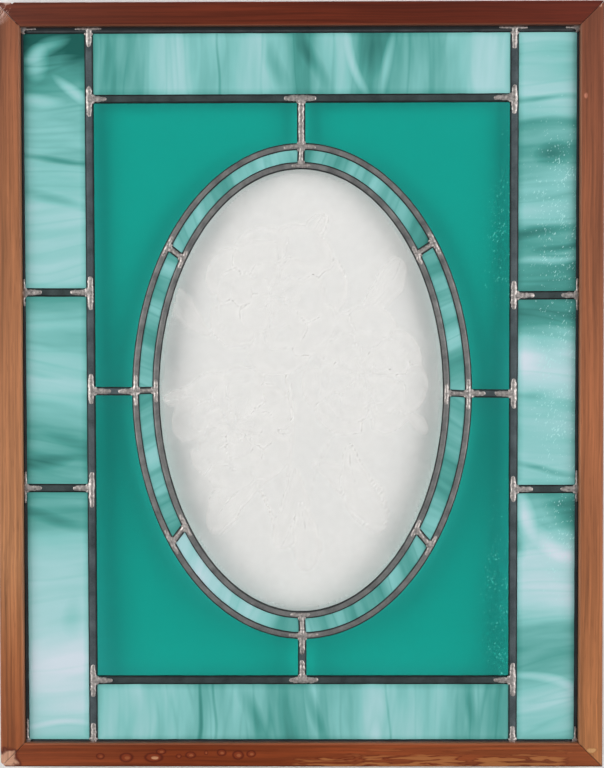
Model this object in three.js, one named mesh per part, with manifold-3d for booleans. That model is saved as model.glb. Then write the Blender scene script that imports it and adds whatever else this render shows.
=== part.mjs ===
// A framed leaded-glass window panel: a mitred hardwood frame with a groove in its inner edge, H-section
// lead came held in the groove, soldered at every joint, and 21 panes of glass held in the came.
// Millimetres. X runs to the right, Y to the back and Z up, and the front faces -Y. The origin is the middle
// of the top rail's back face, where the panel is fixed up.
import * as THREE from "three";
import { mergeVertices } from "three/addons/utils/BufferGeometryUtils.js";
import Module from "manifold-3d";

const wasm = await Module();
wasm.setup();

// ---- Frame ----
const WIDTH = 506;
const HEIGHT = 640;
const DEPTH = 19;
const RAIL_FACE = 20;
const EASED_EDGE = 1.5;
const BACK_CHAMFER = 0.8;
const GROOVE_WIDTH = 6.6;
const GROOVE_DEPTH = 8.4;
const FIT_GAP = 0.3;

// Knocks in the wood: how far the broken corner is gone along each edge, and how deep the notch is.
const CORNER_KNOCK = 4;
const NOTCH_KNOCK = 1.6;

// ---- Lead came, an H in section ----
const CAME_WIDE = 6.4;
const CAME_NARROW = 5.2;
const CAME_BORDER = 9.6;
const CAME_CHANNEL = 3.6;
const CAME_EDGE = 0.45;
const CAME_SHOULDER = 1.0;
const CAME_CROWN = 1.1;
const HEART = 1.2;

// ---- Glass ----
const GLASS_THICKNESS = 3;
const GLASS_CLEARANCE = 0.5;

// ---- Where the centre lines of the came run, from the middle of the frame ----
const BORDER = { left: -235.3, right: 235.3, top: 299.8, bottom: -303.2 };
const VERTICALS = { left: -176.0, right: 178.7 };
const HORIZONTALS = { top: 240.6, bottom: -248.0 };
const SHORTS = {
  left_upper: { side: "left", z: 79.0 },
  left_lower: { side: "left", z: -85.5 },
  right_upper: { side: "right", z: 75.8 },
  right_lower: { side: "right", z: -86.8 },
};
const OUTER_OVAL = { x: 1.2, z: -4.9, a: 139.8, b: 205.5 };
const INNER_OVAL = { x: 0.5, z: -4.1, a: 122.1, b: 188.8 };
const OVAL_STEPS = 64;
const SPOKES = { top: 1.0, bottom: 1.0, left: -4.0, right: -6.4 };

// The radial strips cross the ring at these angles of the ovals, counted from +X towards +Z, in degrees.
const RADIALS = {
  top: 90,
  upper_right: 37.5,
  right: -0.6,
  lower_right: -38.6,
  bottom: -90,
  lower_left: -142.5,
  left: -180.4,
  upper_left: -216.4,
};

// The panel was leaded up by hand, and it is this share narrower at its foot than at its head.
const TAPER = 0.006;

// ---- Solder ----
const SOLDER_RISE = 0.5;
const SOLDER_SLOPE = 0.9;
const SOLDER_MARGIN = 0.7;
const SOLDER_ARM = 12;
const SOLDER_ARM_NARROW = 9;

// ---- Looks ----
const WOOD = new THREE.MeshStandardMaterial({ color: 0x9a6446, roughness: 0.5, metalness: 0 });
const WOOD_DARK = new THREE.MeshStandardMaterial({ color: 0x6e2f20, roughness: 0.5, metalness: 0 });
const LEAD = new THREE.MeshStandardMaterial({ color: 0x5a5d60, roughness: 0.55, metalness: 0.8 });
const OPAL = new THREE.MeshStandardMaterial({ color: 0x8fc8c4, roughness: 0.15, metalness: 0 });
const GREEN = new THREE.MeshStandardMaterial({
  color: 0x18a08f, roughness: 0.08, metalness: 0, transparent: true, opacity: 0.6,
});
const CLEAR = new THREE.MeshStandardMaterial({
  color: 0xe8ecea, roughness: 0.08, metalness: 0, transparent: true, opacity: 0.3,
});

const GLASS_SET_BACK = HEART / 2 + GLASS_CLEARANCE;
const CUTTER_DEPTH = 40;

// The frame and the leaded panel are drawn about the middle of the window, and the panel about its own middle
// plane. The whole window then hangs from the middle of its top rail.
const frame = new THREE.Group();
const panel = new THREE.Group();
panel.position.y = -DEPTH / 2;
const leadedWindow = new THREE.Group();
leadedWindow.add(frame, panel);
leadedWindow.position.z = -(HEIGHT - RAIL_FACE) / 2;

function add(group, name, geometry, material) {
  const mesh = new THREE.Mesh(geometry, material);
  mesh.name = name;
  group.add(mesh);
  return mesh;
}

// Adds a piece of the leaded panel, drawn in towards the foot with the rest of it.
function addToPanel(name, geometry, material) {
  const corner = geometry.attributes.position;
  for (let i = 0; i < corner.count; i += 1) {
    corner.setX(i, corner.getX(i) * (1 + (TAPER * corner.getZ(i)) / HEIGHT));
  }
  add(panel, name, geometry, material);
}

// ---- Between three.js and the solid joiner ----
function toSolid(geometry) {
  const bare = geometry.clone();
  bare.deleteAttribute("normal");
  bare.deleteAttribute("uv");
  const merged = mergeVertices(bare, 1e-4);
  const vertProperties = new Float32Array(merged.attributes.position.array);
  const triVerts = new Uint32Array(merged.index.array);
  return new wasm.Manifold(new wasm.Mesh({ numProp: 3, vertProperties, triVerts }));
}

function toGeometry(solid) {
  const mesh = solid.getMesh();
  const geometry = new THREE.BufferGeometry();
  geometry.setAttribute("position", new THREE.BufferAttribute(mesh.vertProperties, 3));
  geometry.setIndex(new THREE.BufferAttribute(mesh.triVerts, 1));
  return geometry;
}

// ---- Plates: an outline in X and Z, with its thickness along Y, centred on Y = 0 ----
function plate(points, thickness) {
  const shape = new THREE.Shape(points);
  const geometry = new THREE.ExtrudeGeometry(shape, { depth: thickness, bevelEnabled: false });
  geometry.rotateX(Math.PI / 2);
  geometry.translate(0, thickness / 2, 0);
  return geometry;
}

function rectangle(left, right, bottom, top) {
  return [
    new THREE.Vector2(left, bottom),
    new THREE.Vector2(right, bottom),
    new THREE.Vector2(right, top),
    new THREE.Vector2(left, top),
  ];
}

// ---- Ovals ----
// A point of an oval, moved outwards by the offset, square to the curve.
function ovalPoint(oval, angle, offset = 0) {
  const outwards = new THREE.Vector2(oval.b * Math.cos(angle), oval.a * Math.sin(angle)).normalize();
  const point = new THREE.Vector2(oval.x + oval.a * Math.cos(angle), oval.z + oval.b * Math.sin(angle));
  return point.addScaledVector(outwards, offset);
}

function ovalPlate(oval, offset, thickness) {
  const points = [];
  for (let i = 0; i < OVAL_STEPS; i += 1) {
    points.push(ovalPoint(oval, (2 * Math.PI * i) / OVAL_STEPS, offset));
  }
  return toSolid(plate(points, thickness));
}

// ---- Came ----
// The H section: x across the face of the strip, y through the thickness of the panel.
function cameSection(width) {
  const heart = HEART / 2;
  const channel = CAME_CHANNEL / 2;
  const edge = width / 2;
  const shoulder = edge - CAME_SHOULDER;
  const quarter = [
    [heart, channel],
    [edge, channel],
    [edge, channel + CAME_EDGE],
    [shoulder, channel + CAME_CROWN],
  ];
  const upperLeft = quarter.map(([x, y]) => [-x, y]).reverse();
  const lowerLeft = quarter.map(([x, y]) => [-x, -y]);
  const lowerRight = quarter.map(([x, y]) => [x, -y]).reverse();
  const outline = [...quarter, ...upperLeft, ...lowerLeft, ...lowerRight];
  return outline.map(([x, y]) => new THREE.Vector2(x, y));
}

// A low bead of solder along the face of a strip: flat on top, with sloping sides, on the front and the back.
function solderBead(centre, along, length, width) {
  const height = CAME_CROWN + SOLDER_RISE;
  const beads = [];
  for (const side of [-1, 1]) {
    const box = new THREE.BoxGeometry(length, height, width - 2 * SOLDER_MARGIN);
    const corner = box.attributes.position;
    for (let i = 0; i < corner.count; i += 1) {
      if (corner.getY(i) * side > 0) {
        corner.setX(i, corner.getX(i) - Math.sign(corner.getX(i)) * SOLDER_SLOPE);
        corner.setZ(i, corner.getZ(i) - Math.sign(corner.getZ(i)) * SOLDER_SLOPE);
      }
    }
    box.rotateY(-along.angle());
    box.translate(centre.x, side * (CAME_CHANNEL / 2 + height / 2 + 0.05), centre.y);
    beads.push(toSolid(box));
  }
  return beads[0].add(beads[1]);
}

// A straight strip from one point to another. Each entry of beads is a distance from the start, with the
// half-length of the bead of solder there.
function straightCame(start, end, width, beads) {
  const run = end.clone().sub(start);
  const length = run.length();
  const along = run.clone().normalize();
  const shape = new THREE.Shape(cameSection(width));
  const geometry = new THREE.ExtrudeGeometry(shape, { depth: length, bevelEnabled: false });
  const forward = new THREE.Vector3(along.x, 0, along.y);
  const through = new THREE.Vector3(0, 1, 0);
  const across = new THREE.Vector3().crossVectors(through, forward);
  geometry.applyMatrix4(new THREE.Matrix4().makeBasis(across, through, forward));
  geometry.translate(start.x, 0, start.y);
  let solid = toSolid(geometry);
  for (const [distance, half] of beads) {
    const low = Math.max(distance - half, 0);
    const high = Math.min(distance + half, length);
    const middle = start.clone().addScaledVector(along, (low + high) / 2);
    solid = solid.add(solderBead(middle, along, high - low, width));
  }
  return solid;
}

// The strip that runs round an oval: a ring turned on a lathe, with each of its points moved onto the oval.
function ovalCame(oval, width, beadAngles) {
  const radius = oval.a;
  const section = cameSection(width).map((p) => new THREE.Vector2(radius + p.x, p.y));
  const ring = new THREE.LatheGeometry([...section, section[0]], OVAL_STEPS);
  const corner = ring.attributes.position;
  for (let i = 0; i < corner.count; i += 1) {
    const angle = Math.atan2(corner.getZ(i), corner.getX(i));
    const offset = Math.hypot(corner.getX(i), corner.getZ(i)) - radius;
    const point = ovalPoint(oval, angle, offset);
    corner.setX(i, point.x);
    corner.setZ(i, point.y);
  }
  let solid = toSolid(ring);
  const half = THREE.MathUtils.degToRad(0.5);
  for (const angle of beadAngles) {
    const along = ovalPoint(oval, angle + half).sub(ovalPoint(oval, angle - half)).normalize();
    solid = solid.add(solderBead(ovalPoint(oval, angle), along, 2 * SOLDER_ARM_NARROW, width));
  }
  return solid;
}

// ---- The frame: four grooved rails, mitred at the corners ----
// The section has x from the outer edge to the inner edge, and y from the back to the front.
function railSection() {
  const grooveBack = (DEPTH - GROOVE_WIDTH) / 2;
  const grooveFront = grooveBack + GROOVE_WIDTH;
  const r = EASED_EDGE;
  const shape = new THREE.Shape();
  shape.moveTo(BACK_CHAMFER, 0);
  shape.lineTo(RAIL_FACE - BACK_CHAMFER, 0);
  shape.lineTo(RAIL_FACE, BACK_CHAMFER);
  shape.lineTo(RAIL_FACE, grooveBack);
  shape.lineTo(RAIL_FACE - GROOVE_DEPTH, grooveBack);
  shape.lineTo(RAIL_FACE - GROOVE_DEPTH, grooveFront);
  shape.lineTo(RAIL_FACE, grooveFront);
  shape.lineTo(RAIL_FACE, DEPTH - r);
  shape.absarc(RAIL_FACE - r, DEPTH - r, r, 0, Math.PI / 2, false);
  shape.lineTo(r, DEPTH);
  shape.absarc(r, DEPTH - r, r, Math.PI / 2, Math.PI, false);
  shape.lineTo(0, BACK_CHAMFER);
  shape.lineTo(BACK_CHAMFER, 0);
  return shape;
}

// A rail lies along X, with its outer edge on Z = 0 and its back on Y = 0.
function rail(length) {
  const options = { depth: length, bevelEnabled: false, curveSegments: 3 };
  const geometry = new THREE.ExtrudeGeometry(railSection(), options);
  const mitreGap = (FIT_GAP / 2) * Math.SQRT2;
  const corner = geometry.attributes.position;
  for (let i = 0; i < corner.count; i += 1) {
    const across = corner.getX(i);
    const depth = corner.getY(i);
    const end = corner.getZ(i) > length / 2 ? 1 : -1;
    corner.setXYZ(i, end * (length / 2 - across - mitreGap), -depth, across);
  }
  return geometry;
}

// Cuts the corner of a box, stood on its edge, into the rail's outer edge, through the rail's whole depth.
function knocked(geometry, along, reach) {
  const side = CORNER_KNOCK * 4;
  const box = new THREE.BoxGeometry(side, CUTTER_DEPTH * 2, side);
  box.rotateY(Math.PI / 4);
  box.translate(along, 0, reach - side * Math.SQRT1_2);
  return toGeometry(toSolid(geometry).subtract(toSolid(box)));
}

const RAILS = [
  { name: "rail_bottom", length: WIDTH, turn: 0, x: 0, z: -HEIGHT / 2, material: WOOD_DARK },
  { name: "rail_top", length: WIDTH, turn: Math.PI, x: 0, z: HEIGHT / 2, material: WOOD_DARK },
  { name: "stile_left", length: HEIGHT, turn: Math.PI / 2, x: -WIDTH / 2, z: 0, material: WOOD },
  { name: "stile_right", length: HEIGHT, turn: -Math.PI / 2, x: WIDTH / 2, z: 0, material: WOOD },
];
// Where the knocks are along each rail, from its middle: the lower left corner, and the top edge near the left end.
const KNOCKS = {
  rail_bottom: { along: -WIDTH / 2, reach: CORNER_KNOCK },
  stile_left: { along: HEIGHT / 2, reach: CORNER_KNOCK },
  rail_top: { along: WIDTH / 2 - 14, reach: NOTCH_KNOCK },
};
for (const { name, length, turn, x, z, material } of RAILS) {
  const knock = KNOCKS[name];
  const whole = rail(length);
  const geometry = knock ? knocked(whole, knock.along, knock.reach) : whole;
  const mesh = add(frame, name, geometry, material);
  mesh.rotation.y = turn;
  mesh.position.set(x, 0, z);
}

// ---- The long straight strips ----
const point = (x, z) => new THREE.Vector2(x, z);
const borderHalf = CAME_BORDER / 2;
const wideHalf = CAME_WIDE / 2;
const narrowHalf = CAME_NARROW / 2;
const throughBead = (distance) => [distance, SOLDER_ARM];

function addCame(name, solid) {
  addToPanel(`came_${name}`, toGeometry(solid), LEAD);
}

// Border strips: the side ones run the full height, and the top and bottom ones fit between them. Most of their
// face lies in the frame's groove, so they carry no beads.
const borderTopEdge = BORDER.top + borderHalf;
const borderBottomEdge = BORDER.bottom - borderHalf;
for (const side of ["left", "right"]) {
  const start = point(BORDER[side], borderBottomEdge);
  const end = point(BORDER[side], borderTopEdge);
  addCame(`border_${side}`, straightCame(start, end, CAME_BORDER, []));
}
const borderLeftEnd = BORDER.left + borderHalf + FIT_GAP;
const borderRightEnd = BORDER.right - borderHalf - FIT_GAP;
for (const side of ["top", "bottom"]) {
  const start = point(borderLeftEnd, BORDER[side]);
  const end = point(borderRightEnd, BORDER[side]);
  addCame(`border_${side}`, straightCame(start, end, CAME_BORDER, []));
}

// The two long verticals, from border to border.
const verticalTop = BORDER.top - borderHalf - FIT_GAP;
const verticalBottom = BORDER.bottom + borderHalf + FIT_GAP;
for (const side of ["left", "right"]) {
  const start = point(VERTICALS[side], verticalBottom);
  const end = point(VERTICALS[side], verticalTop);
  const joints = [HORIZONTALS.top, HORIZONTALS.bottom, SPOKES[side]];
  for (const short of Object.values(SHORTS)) {
    if (short.side === side) joints.push(short.z);
  }
  const beads = joints.map((z) => throughBead(z - verticalBottom));
  beads.push([0, SOLDER_ARM], [verticalTop - verticalBottom, SOLDER_ARM]);
  addCame(`vertical_${side}`, straightCame(start, end, CAME_WIDE, beads));
}

// The two long horizontals, between the verticals.
const insideLeft = VERTICALS.left + wideHalf + FIT_GAP;
const insideRight = VERTICALS.right - wideHalf - FIT_GAP;
for (const side of ["top", "bottom"]) {
  const start = point(insideLeft, HORIZONTALS[side]);
  const end = point(insideRight, HORIZONTALS[side]);
  const beads = [[0, SOLDER_ARM], throughBead(SPOKES[side] - insideLeft), [insideRight - insideLeft, SOLDER_ARM]];
  addCame(`horizontal_${side}`, straightCame(start, end, CAME_WIDE, beads));
}

// The four short strips that part the side columns.
for (const [name, { side, z }] of Object.entries(SHORTS)) {
  const sign = side === "left" ? -1 : 1;
  const outer = BORDER[side] - sign * (borderHalf + FIT_GAP);
  const inner = VERTICALS[side] + sign * (wideHalf + FIT_GAP);
  const length = Math.abs(outer - inner);
  const beads = [[0, SOLDER_ARM], [length, SOLDER_ARM]];
  addCame(`short_${name}`, straightCame(point(inner, z), point(outer, z), CAME_WIDE, beads));
}

// ---- The ovals, and the strips that meet them ----
const radialAngle = (name) => THREE.MathUtils.degToRad(RADIALS[name]);
const radialAngles = Object.keys(RADIALS).map(radialAngle);
addCame("oval_outer", ovalCame(OUTER_OVAL, CAME_NARROW, radialAngles));
addCame("oval_inner", ovalCame(INNER_OVAL, CAME_NARROW, radialAngles));

const outsideOuterOval = ovalPlate(OUTER_OVAL, narrowHalf + FIT_GAP, CUTTER_DEPTH);
const insideOuterOval = ovalPlate(OUTER_OVAL, -narrowHalf - FIT_GAP, CUTTER_DEPTH);
const outsideInnerOval = ovalPlate(INNER_OVAL, narrowHalf + FIT_GAP, CUTTER_DEPTH);

// Spokes run from a long strip to the outer oval, and their inner ends are cut to its curve.
const SPOKE_ENDS = {
  top: { start: point(SPOKES.top, HORIZONTALS.top - wideHalf - FIT_GAP), angle: 90 },
  bottom: { start: point(SPOKES.bottom, HORIZONTALS.bottom + wideHalf + FIT_GAP), angle: -90 },
  left: { start: point(VERTICALS.left + wideHalf + FIT_GAP, SPOKES.left), angle: 180 },
  right: { start: point(VERTICALS.right - wideHalf - FIT_GAP, SPOKES.right), angle: 0 },
};
for (const [name, { start, angle }] of Object.entries(SPOKE_ENDS)) {
  const onOval = ovalPoint(OUTER_OVAL, THREE.MathUtils.degToRad(angle));
  const end = angle % 180 === 0 ? point(onOval.x, start.y) : point(start.x, onOval.y);
  const reach = start.distanceTo(end);
  const beads = [[0, SOLDER_ARM_NARROW], [reach, SOLDER_ARM_NARROW + narrowHalf]];
  const strip = straightCame(start, end, CAME_WIDE, beads);
  addCame(`spoke_${name}`, strip.subtract(outsideOuterOval));
}

// Radial strips cross the ring, with both ends cut to the ovals and solder all over their faces.
for (const name of Object.keys(RADIALS)) {
  const start = ovalPoint(INNER_OVAL, radialAngle(name));
  const end = ovalPoint(OUTER_OVAL, radialAngle(name));
  const length = start.distanceTo(end);
  const strip = straightCame(start, end, CAME_NARROW, [[length / 2, length / 2]]);
  addCame(`radial_${name}`, strip.intersect(insideOuterOval).subtract(outsideInnerOval));
}

// ---- Glass ----
function addGlass(name, geometry, material) {
  addToPanel(`glass_${name}`, geometry, material);
}

function rectangularPane(left, right, bottom, top) {
  const inset = GLASS_SET_BACK;
  const outline = rectangle(left + inset, right - inset, bottom + inset, top - inset);
  return plate(outline, GLASS_THICKNESS);
}

for (const side of ["left", "right"]) {
  const left = Math.min(BORDER[side], VERTICALS[side]);
  const right = Math.max(BORDER[side], VERTICALS[side]);
  const levels = [BORDER.top, SHORTS[`${side}_upper`].z, SHORTS[`${side}_lower`].z, BORDER.bottom];
  ["upper", "middle", "lower"].forEach((name, i) => {
    addGlass(`${side}_${name}`, rectangularPane(left, right, levels[i + 1], levels[i]), OPAL);
  });
}
const stripTop = rectangularPane(VERTICALS.left, VERTICALS.right, HORIZONTALS.top, BORDER.top);
const stripBottom = rectangularPane(VERTICALS.left, VERTICALS.right, BORDER.bottom, HORIZONTALS.bottom);
addGlass("strip_top", stripTop, OPAL);
addGlass("strip_bottom", stripBottom, OPAL);

// Corner panes: a rectangle between two long strips and two spokes, with the oval cut out of it.
const ovalHollow = ovalPlate(OUTER_OVAL, GLASS_SET_BACK, CUTTER_DEPTH);
const CORNERS = [["left", "top"], ["right", "top"], ["left", "bottom"], ["right", "bottom"]];
for (const [vertical, horizontal] of CORNERS) {
  const xs = [VERTICALS[vertical], SPOKES[horizontal]].sort((a, b) => a - b);
  const zs = [HORIZONTALS[horizontal], SPOKES[vertical]].sort((a, b) => a - b);
  const pane = toSolid(rectangularPane(xs[0], xs[1], zs[0], zs[1])).subtract(ovalHollow);
  addGlass(`corner_${horizontal}_${vertical}`, toGeometry(pane), GREEN);
}

// Ring panes: each lies between two neighbouring radial strips, and is numbered clockwise from the top.
const ringPlate = ovalPlate(OUTER_OVAL, -GLASS_SET_BACK, GLASS_THICKNESS).subtract(
  ovalPlate(INNER_OVAL, GLASS_SET_BACK, CUTTER_DEPTH),
);
// The two ends of a line beside a radial strip, on the side that the sign gives, longer than the strip itself.
function besideRadial(angle, sign) {
  const start = ovalPoint(INNER_OVAL, angle);
  const end = ovalPoint(OUTER_OVAL, angle);
  const along = end.clone().sub(start);
  const aside = new THREE.Vector2(-along.y, along.x).normalize().multiplyScalar(sign * GLASS_SET_BACK);
  const inner = start.clone().sub(along).add(aside);
  const outer = end.clone().add(along).add(aside);
  return { inner, outer };
}
radialAngles.forEach((angle, i) => {
  const last = i === radialAngles.length - 1;
  const next = last ? radialAngles[0] - 2 * Math.PI : radialAngles[i + 1];
  const from = besideRadial(angle, -1);
  const to = besideRadial(next, 1);
  const middle = ovalPoint(OUTER_OVAL, (angle + next) / 2, 4 * CUTTER_DEPTH);
  const wedge = plate([from.inner, to.inner, to.outer, middle, from.outer], CUTTER_DEPTH);
  const pane = ringPlate.intersect(toSolid(wedge));
  addGlass(`ring_${i + 1}`, toGeometry(pane), OPAL);
});

addGlass("oval", toGeometry(ovalPlate(INNER_OVAL, -GLASS_SET_BACK, GLASS_THICKNESS)), CLEAR);

export default leadedWindow;
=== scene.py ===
# %% [markdown]
# # A leaded glass window in a hardwood frame
# This notebook dresses a small framed window: streaky, green and clear glass, held in strips of lead that
# are called came, soldered where they meet. The solid model comes first, as a frame that nothing here moves.
# Sizes are in metres. Places are read from that model or measured from its middle, so each new piece lands
# where it belongs.

# %% Load the solid model
import math
import random

import bpy
import numpy as np
from mathutils import Matrix, Vector, noise


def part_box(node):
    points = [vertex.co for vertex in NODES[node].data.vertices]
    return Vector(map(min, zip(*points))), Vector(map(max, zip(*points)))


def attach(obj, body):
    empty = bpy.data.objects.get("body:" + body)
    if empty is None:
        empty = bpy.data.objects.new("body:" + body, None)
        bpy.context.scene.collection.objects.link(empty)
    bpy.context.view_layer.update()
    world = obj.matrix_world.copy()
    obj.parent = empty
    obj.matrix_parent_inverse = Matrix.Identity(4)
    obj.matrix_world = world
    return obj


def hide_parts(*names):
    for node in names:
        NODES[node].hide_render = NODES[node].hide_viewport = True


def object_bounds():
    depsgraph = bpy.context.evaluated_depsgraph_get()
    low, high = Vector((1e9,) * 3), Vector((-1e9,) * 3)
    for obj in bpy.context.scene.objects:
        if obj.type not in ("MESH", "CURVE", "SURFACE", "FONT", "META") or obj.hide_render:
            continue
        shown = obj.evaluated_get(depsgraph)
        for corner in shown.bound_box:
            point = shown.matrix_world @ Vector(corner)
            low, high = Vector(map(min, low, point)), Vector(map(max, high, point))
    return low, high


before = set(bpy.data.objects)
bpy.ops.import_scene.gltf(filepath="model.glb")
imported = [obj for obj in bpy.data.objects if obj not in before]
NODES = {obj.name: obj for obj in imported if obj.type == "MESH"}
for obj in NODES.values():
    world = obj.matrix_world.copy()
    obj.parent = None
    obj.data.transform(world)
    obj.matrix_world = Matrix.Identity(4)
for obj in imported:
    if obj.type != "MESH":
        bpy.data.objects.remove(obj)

noise.seed_set(3)        # without a seed, Blender's noise vectors start from the clock
MM = 0.001
cad_low, cad_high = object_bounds()
centre = (cad_low + cad_high) / 2
front, back = cad_low.y, cad_high.y
SIGHT_SIDE, SIGHT_UP = 233 * MM, 300 * MM        # from the middle to the edges of what the lip leaves free
print(len(NODES), "solids, from", tuple(cad_low), "to", tuple(cad_high))

# %% [markdown]
# ## Camera
# The window is seen almost square on, from about 1.5 m, with the camera a little above the middle and
# turned down by under two degrees, which makes the head of the window a touch wider than its foot.

# %% The camera
CAMERA_DISTANCE = 1.5
CAMERA_RISE = 0.0466
CAMERA_ASIDE = 0.0146
CAMERA_TURN = (88.278, 0.115, 0.51)
CAMERA_LENS = 83.15

camera_data = bpy.data.cameras.new("camera")
camera_data.lens = CAMERA_LENS
camera_data.sensor_width = 36
camera = bpy.data.objects.new("camera", camera_data)
camera.location = (CAMERA_ASIDE, -CAMERA_DISTANCE, centre.z + CAMERA_RISE)
camera.rotation_euler = [math.radians(turn) for turn in CAMERA_TURN]
bpy.context.scene.collection.objects.link(camera)
bpy.context.scene.camera = camera
bpy.context.scene.view_settings.view_transform = "Standard"
print("camera at", tuple(camera.location))

# %% [markdown]
# ## Stage and light
# A plain white wall stands just behind the frame and a pale floor lies below it. The window leans on the
# wall a little, so the gap behind it grows towards its foot. The wall is seen from the front only, so that
# it never hides the window's back. Clear glass gets its look from what is behind it, so the wall is also
# what makes the green glass glow and what takes the soft shadows of the lead. Wall and floor also glow a
# little by themselves, but only where they are looked at, straight or through glass.
# Two broad lights stand at the left and the right. They are wide, so the upright strips throw soft dark
# bands to both sides, and they are tall, so the level strips throw hardly any. They fade towards their
# edges, as cloth-fronted studio lights do, so that glass seen at a slant mirrors no hard edge. A third
# light, high up behind, is for the window's back: it reaches nothing that is seen from the front.

# %% Colours as they look on a screen
def screen(red, green, blue):
    """A colour from 0 to 255 as it looks on a screen, as the linear values that a shader reads."""
    linear = []
    for level in (red, green, blue):
        share = level / 255
        linear.append(share / 12.92 if share <= 0.04045 else ((share + 0.055) / 1.055) ** 2.4)
    return (*linear, 1.0)


def grey(level):
    """An even linear grey."""
    return (level, level, level, 1.0)


# %% Small helpers for shader nodes
def put(tree, kind, inputs=None, **settings):
    """Adds a node. What is given for an input is a plain value, or another node's output to link to it."""
    new = tree.nodes.new("ShaderNode" + kind)
    for name, value in settings.items():
        setattr(new, name, value)
    for name, value in (inputs or {}).items():
        if isinstance(value, bpy.types.NodeSocket):
            tree.links.new(value, new.inputs[name])
        else:
            new.inputs[name].default_value = value
    return new


def compute(tree, operation, *values, clamp=False):
    """A Math node's output."""
    inputs = dict(enumerate(values))
    return put(tree, "Math", inputs, operation=operation, use_clamp=clamp).outputs[0]


def product(tree, first, second):
    """One value times another."""
    return compute(tree, "MULTIPLY", first, second)


def apart(tree, first, second):
    """How far two values are from each other."""
    return compute(tree, "ABSOLUTE", compute(tree, "SUBTRACT", first, second))


def vector(tree, operation, first, second):
    """A VectorMath node's output."""
    return put(tree, "VectorMath", {0: first, 1: second}, operation=operation).outputs[0]


def turned_by(tree, place, angle):
    """A place turned about the Y axis."""
    return put(tree, "VectorRotate", {"Vector": place, "Angle": angle}, rotation_type="Y_AXIS").outputs[0]


def texture(tree, place, scale, detail, seed=None, **more):
    """A noise's outputs. A seed takes it from its own slice of a noise in four dimensions."""
    inputs = {"Vector": place, "Scale": scale, "Detail": detail, **more}
    if seed is None:
        return put(tree, "TexNoise", inputs).outputs
    return put(tree, "TexNoise", {**inputs, "W": seed}, noise_dimensions="4D").outputs


def stretched(tree, place, stretch, detail, seed=None, **more):
    """The value of a noise that is drawn out or squeezed along each axis."""
    return texture(tree, vector(tree, "MULTIPLY", place, stretch), 1.0, detail, seed, **more)[0]


def bent_by(tree, place, noise_place, scale, detail, amount, seed=None):
    """A place pushed about by a noise, by up to half the amount."""
    push = vector(tree, "SUBTRACT", texture(tree, noise_place, scale, detail, seed)["Color"], (0.5, 0.5, 0.5))
    push = put(tree, "VectorMath", {0: push, "Scale": amount}, operation="SCALE").outputs[0]
    return vector(tree, "ADD", place, push)


def share_of_reach(tree, offset, reach):
    """How far an offset is from nothing, as a share of the reach along each axis."""
    share = vector(tree, "DIVIDE", offset, reach)
    return put(tree, "VectorMath", {0: share}, operation="LENGTH").outputs["Value"]


def blend_colours(tree, share, first, second, way="MIX"):
    """A colour between the first and the second, by the share."""
    inputs = {0: share, 6: first, 7: second}
    return put(tree, "Mix", inputs, data_type="RGBA", blend_type=way).outputs[2]


def paint(tree, colour, mask, strength, *coat):
    """The colour with a coat over it where the mask is. The coat is given as it looks on a screen."""
    return blend_colours(tree, product(tree, mask, strength), colour, screen(*coat))


def remap(tree, value, low, high, new_low=0.0, new_high=1.0):
    """The value, moved from one range to another and held inside it."""
    inputs = {0: value, 1: low, 2: high, 3: new_low, 4: new_high}
    return put(tree, "MapRange", inputs, clamp=True).outputs[0]


def colour_ramp(tree, share, stops):
    """A colour read off a ramp. Each stop is a place from 0 to 1 and a grey or a screen colour."""
    ramp_node = put(tree, "ValToRGB", {0: share})
    ramp = ramp_node.color_ramp
    while len(ramp.elements) < len(stops):
        ramp.elements.new(1.0)
    for element, (place, *colour) in zip(ramp.elements, stops):
        element.position = place
        element.color = grey(colour[0]) if len(colour) == 1 else screen(*colour)
    return ramp_node.outputs[0]


# %% Helpers for materials and groups
def object_place(tree):
    """The place on a piece, and its three parts."""
    place = put(tree, "TexCoord").outputs["Object"]
    return place, put(tree, "SeparateXYZ", {0: place}).outputs


def new_material(name):
    """An empty material, with its tree."""
    material = bpy.data.materials.new(name)
    material.use_nodes = True
    material.node_tree.nodes.clear()
    return material, material.node_tree


def output(tree, shader, kind="OutputMaterial"):
    """Makes a shader the one that is seen."""
    put(tree, kind, {0: shader.outputs[0]})


def principled(tree, colour, roughness, **more):
    """The shader that most things here have."""
    named = {name.replace("_", " "): value for name, value in more.items()}
    return put(tree, "BsdfPrincipled", {"Base Color": colour, "Roughness": roughness, **named})


def bump(tree, height, strength, distance):
    """The way that a surface with a fine relief faces."""
    return put(tree, "Bump", {"Height": height, "Strength": strength, "Distance": distance}).outputs[0]


def switch(tree, share, first, second):
    """A shader between two others, by the share."""
    return put(tree, "MixShader", {0: share, 1: first.outputs[0], 2: second.outputs[0]})


def new_group(name, vectors, floats, gives, colours=()):
    """An empty shader group, with its inputs sorted by kind. It gives plain values, and may give a colour."""
    tree = bpy.data.node_groups.new(name, "ShaderNodeTree")
    for kind, labels in (("Vector", vectors), ("Float", floats), ("Color", colours)):
        for label in labels:
            tree.interface.new_socket(label, in_out="INPUT", socket_type="NodeSocket" + kind)
    for label in gives:
        kind = "NodeSocketColor" if label == "Color" else "NodeSocketFloat"
        tree.interface.new_socket(label, in_out="OUTPUT", socket_type=kind)
    entry = tree.nodes.new("NodeGroupInput")
    leave = tree.nodes.new("NodeGroupOutput")
    return tree, entry.outputs, leave.inputs


def use_group(tree, group, inputs):
    """A group placed in a material, with its inputs set or linked."""
    return put(tree, "Group", inputs, node_tree=group).outputs


def around(tree, group, place, middle, reach, **more):
    """A group that works around a middle."""
    return use_group(tree, group, {"Vector": place, "Middle": middle, "Reach": reach, **more})


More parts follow.
